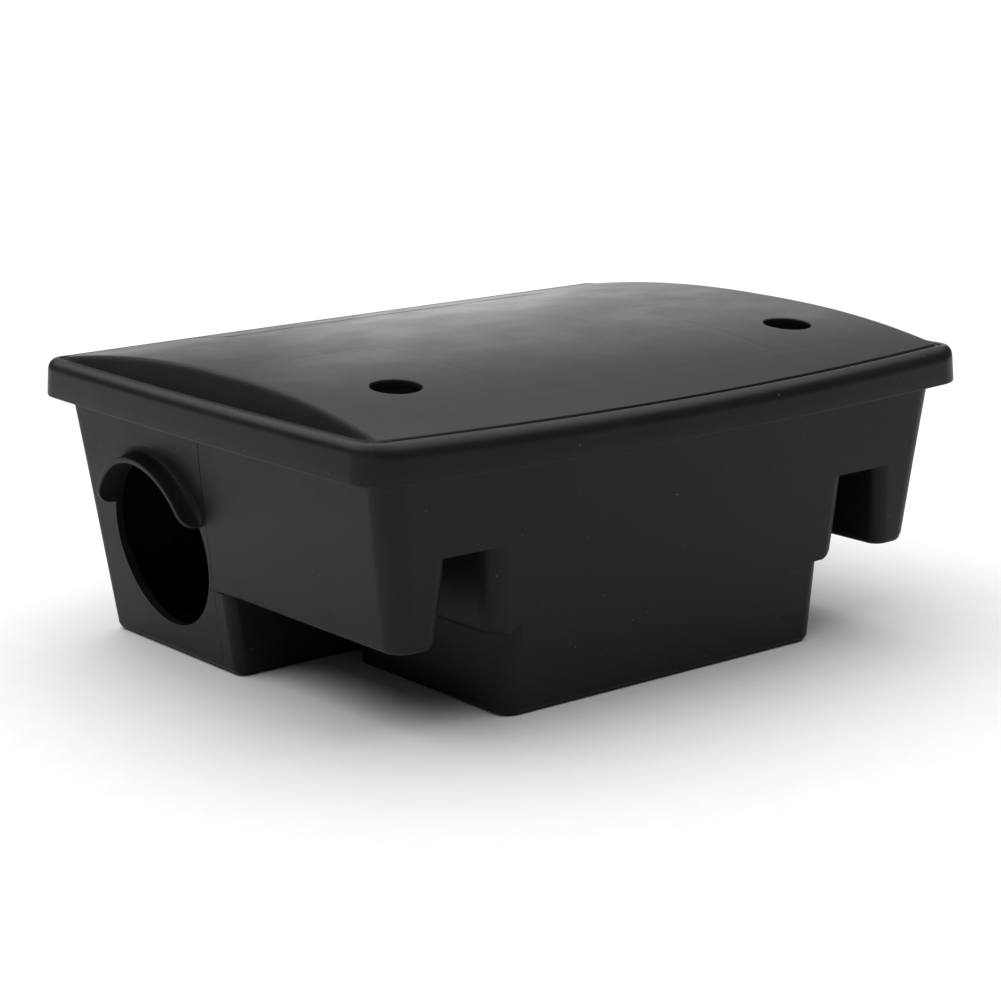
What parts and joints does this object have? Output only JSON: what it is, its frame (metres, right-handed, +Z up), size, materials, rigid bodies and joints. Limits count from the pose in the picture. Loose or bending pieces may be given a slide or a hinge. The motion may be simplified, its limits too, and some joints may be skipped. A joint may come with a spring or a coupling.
{
  "type": "rodent bait station",
  "caption": "Lockable rodent bait station: drafted black tray with a through tunnel, a deep front bait well and a hinged domed lid.",
  "frame": {"origin": "middle of the bounding box on the ground", "axes": "+X along the station's length, -Y towards the front with the bait well and locks, +Z up"},
  "size_m": [0.235, 0.197, 0.099],
  "materials": {
    "base_plastic": "black polypropylene, fine satin texture",
    "lid_plastic": "black polypropylene, fine satin texture",
    "tray_plastic": "black polypropylene, smooth satin",
    "insert_plastic": "black polypropylene sheet, satin",
    "spindle_nylon": "black nylon, satin",
    "cam_steel": "zinc-plated pressed steel",
    "washer_steel": "spring steel",
    "clip_steel": "spring steel",
    "pin_steel": "drawn stainless wire",
    "rod_steel": "galvanised wire"
  },
  "bodies": {
    "base": {"base_shell": "base_plastic", "hinge_pin_left": "pin_steel", "hinge_pin_right": "pin_steel"},
    "lid": {"lid_shell": "lid_plastic", "lock_washer_left": "washer_steel", "lock_washer_right": "washer_steel"},
    "lock_left": {"lock_spindle_left": "spindle_nylon", "lock_cam_left": "cam_steel", "lock_clip_left": "clip_steel"},
    "lock_right": {"lock_spindle_right": "spindle_nylon", "lock_cam_right": "cam_steel", "lock_clip_right": "clip_steel"},
    "tray": {"bait_tray": "tray_plastic"},
    "divider": {"tray_divider": "insert_plastic"},
    "rod_1": {"bait_rod_1": "rod_steel"},
    "rod_2": {"bait_rod_2": "rod_steel"},
    "rod_3": {"bait_rod_3": "rod_steel"},
    "rod_4": {"bait_rod_4": "rod_steel"},
    "baffle_left": {"baffle_left": "insert_plastic"},
    "baffle_right": {"baffle_right": "insert_plastic"}
  },
  "joints": [
    {"name": "lid_hinge", "type": "hinge", "parent": "base", "child": "lid", "pos_m": [0, 0.09248, 0.078], "axis": [-1, 0, 0], "range_deg": [0, 110]},
    {"name": "lock_left_turn", "type": "hinge", "parent": "lid", "child": "lock_left", "pos_m": [-0.077, -0.0502, 0.08], "axis": [0, 0, 1], "range_deg": [0, 90]},
    {"name": "lock_right_turn", "type": "hinge", "parent": "lid", "child": "lock_right", "pos_m": [0.077, -0.0502, 0.08], "axis": [0, 0, -1], "range_deg": [0, 90]},
    {"name": "tray_lift", "type": "slide", "parent": "base", "child": "tray", "axis": [0, 0, 1], "range_m": [0, 0.025]},
    {"name": "divider_lift", "type": "slide", "parent": "tray", "child": "divider", "axis": [0, 0, 1], "range_m": [0, 0.008]},
    {"name": "rod_1_lift", "type": "slide", "parent": "tray", "child": "rod_1", "axis": [0, 0, 1], "range_m": [0, 0.008]},
    {"name": "rod_2_lift", "type": "slide", "parent": "tray", "child": "rod_2", "axis": [0, 0, 1], "range_m": [0, 0.008]},
    {"name": "rod_3_lift", "type": "slide", "parent": "tray", "child": "rod_3", "axis": [0, 0, 1], "range_m": [0, 0.008]},
    {"name": "rod_4_lift", "type": "slide", "parent": "tray", "child": "rod_4", "axis": [0, 0, 1], "range_m": [0, 0.008]},
    {"name": "baffle_left_lift", "type": "slide", "parent": "base", "child": "baffle_left", "axis": [0, 0, 1], "range_m": [0, 0.008]},
    {"name": "baffle_right_lift", "type": "slide", "parent": "base", "child": "baffle_right", "axis": [0, 0, 1], "range_m": [0, 0.008]}
  ]
}
